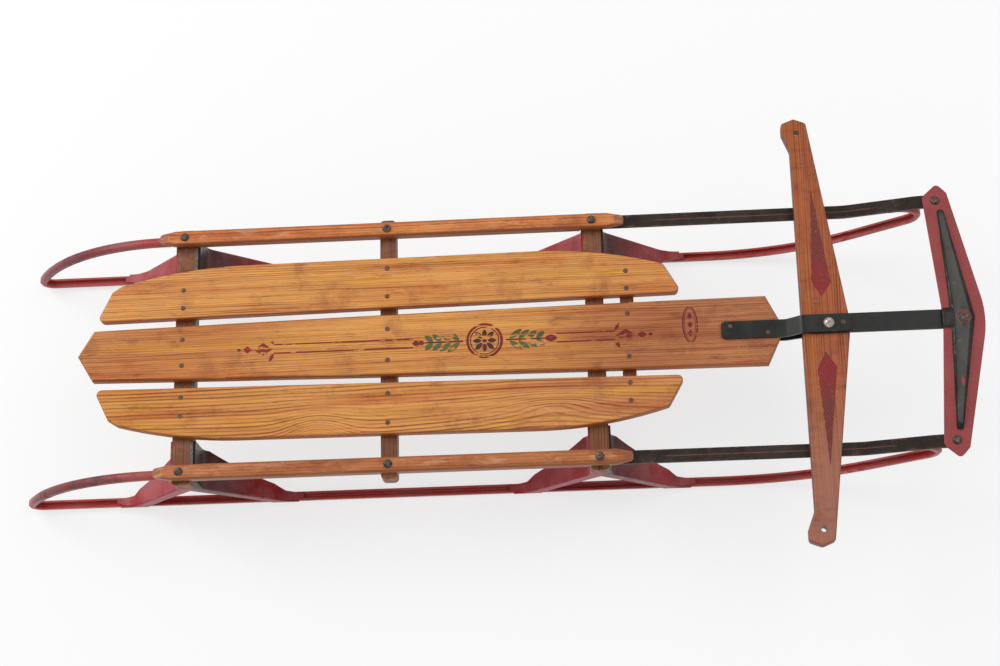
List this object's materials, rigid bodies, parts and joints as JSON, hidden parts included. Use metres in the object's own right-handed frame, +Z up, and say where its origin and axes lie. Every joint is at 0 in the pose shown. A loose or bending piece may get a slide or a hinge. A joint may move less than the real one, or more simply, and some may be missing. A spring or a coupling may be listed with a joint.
{
  "type": "runner sled",
  "caption": "Low sled with a boarded deck on cross beams, pressed knees and long steel runners, steered by a pivoted wooden bar linked to a shifting front bumper.",
  "frame": {"origin": "on the floor under the middle of the sled's box", "axes": "+X forward to the bumper, +Y to the rider's left, +Z up from the snow"},
  "size_m": [1.1446, 0.5152, 0.1698],
  "materials": {
    "deck_wood": "aged varnish",
    "rail_wood": "aged varnish",
    "beam_wood": "dark aged varnish",
    "steering_wood": "red-brown varnish",
    "red_paint": "worn enamel",
    "black_paint": "worn enamel",
    "bare_steel": "aged, slightly rusty"
  },
  "bodies": {
    "frame": {"deck_slat_left": "deck_wood", "deck_slat_centre": "deck_wood", "deck_slat_right": "deck_wood", "side_rail_left": "rail_wood", "side_rail_right": "rail_wood", "rear_beam": "beam_wood", "middle_beam": "beam_wood", "front_beam": "beam_wood", "front_cleat": "beam_wood", "runner_left": "red_paint", "runner_right": "red_paint", "knee_rear_left": "red_paint", "knee_rear_right": "red_paint", "knee_front_left": "red_paint", "knee_front_right": "red_paint", "upper_strap": "black_paint", "lower_strap": "black_paint", "pivot_bolt": "bare_steel", "rail_bolts": "bare_steel", "middle_bolts": "bare_steel", "rear_beam_strip": "bare_steel"},
    "steering": {"steering_bar": "steering_wood", "steering_link": "black_paint"},
    "left_bar": {"side_bar_left": "black_paint"},
    "right_bar": {"side_bar_right": "black_paint"},
    "bumper": {"bumper": "red_paint", "bumper_bolts": "bare_steel", "bumper_eyelet": "bare_steel"}
  },
  "joints": [
    {"name": "steering_pivot", "type": "hinge", "parent": "frame", "child": "steering", "pos_m": [0.3952, 0, 0.15], "axis": [0, 0, 1], "range_deg": [-12, 12]},
    {"name": "left_bar_flex", "type": "hinge", "parent": "frame", "child": "left_bar", "pos_m": [0.1272, 0.144, 0.1385], "axis": [0, 0, 1], "range_deg": [-4.56, 4.56]},
    {"name": "right_bar_flex", "type": "hinge", "parent": "frame", "child": "right_bar", "pos_m": [0.1272, -0.144, 0.1385], "axis": [0, 0, 1], "range_deg": [-4.56, 4.56]},
    {"name": "bumper_pivot", "type": "hinge", "parent": "left_bar", "child": "bumper", "pos_m": [0.5277, 0.144, 0.162], "axis": [0, 0, 1], "range_deg": [-4.56, 4.56]}
  ],
  "couplings": [
    {"joint": "left_bar_flex", "follows": "steering_pivot", "ratio": 0.3795},
    {"joint": "right_bar_flex", "follows": "steering_pivot", "ratio": 0.3795},
    {"joint": "bumper_pivot", "follows": "steering_pivot", "ratio": -0.3795}
  ]
}
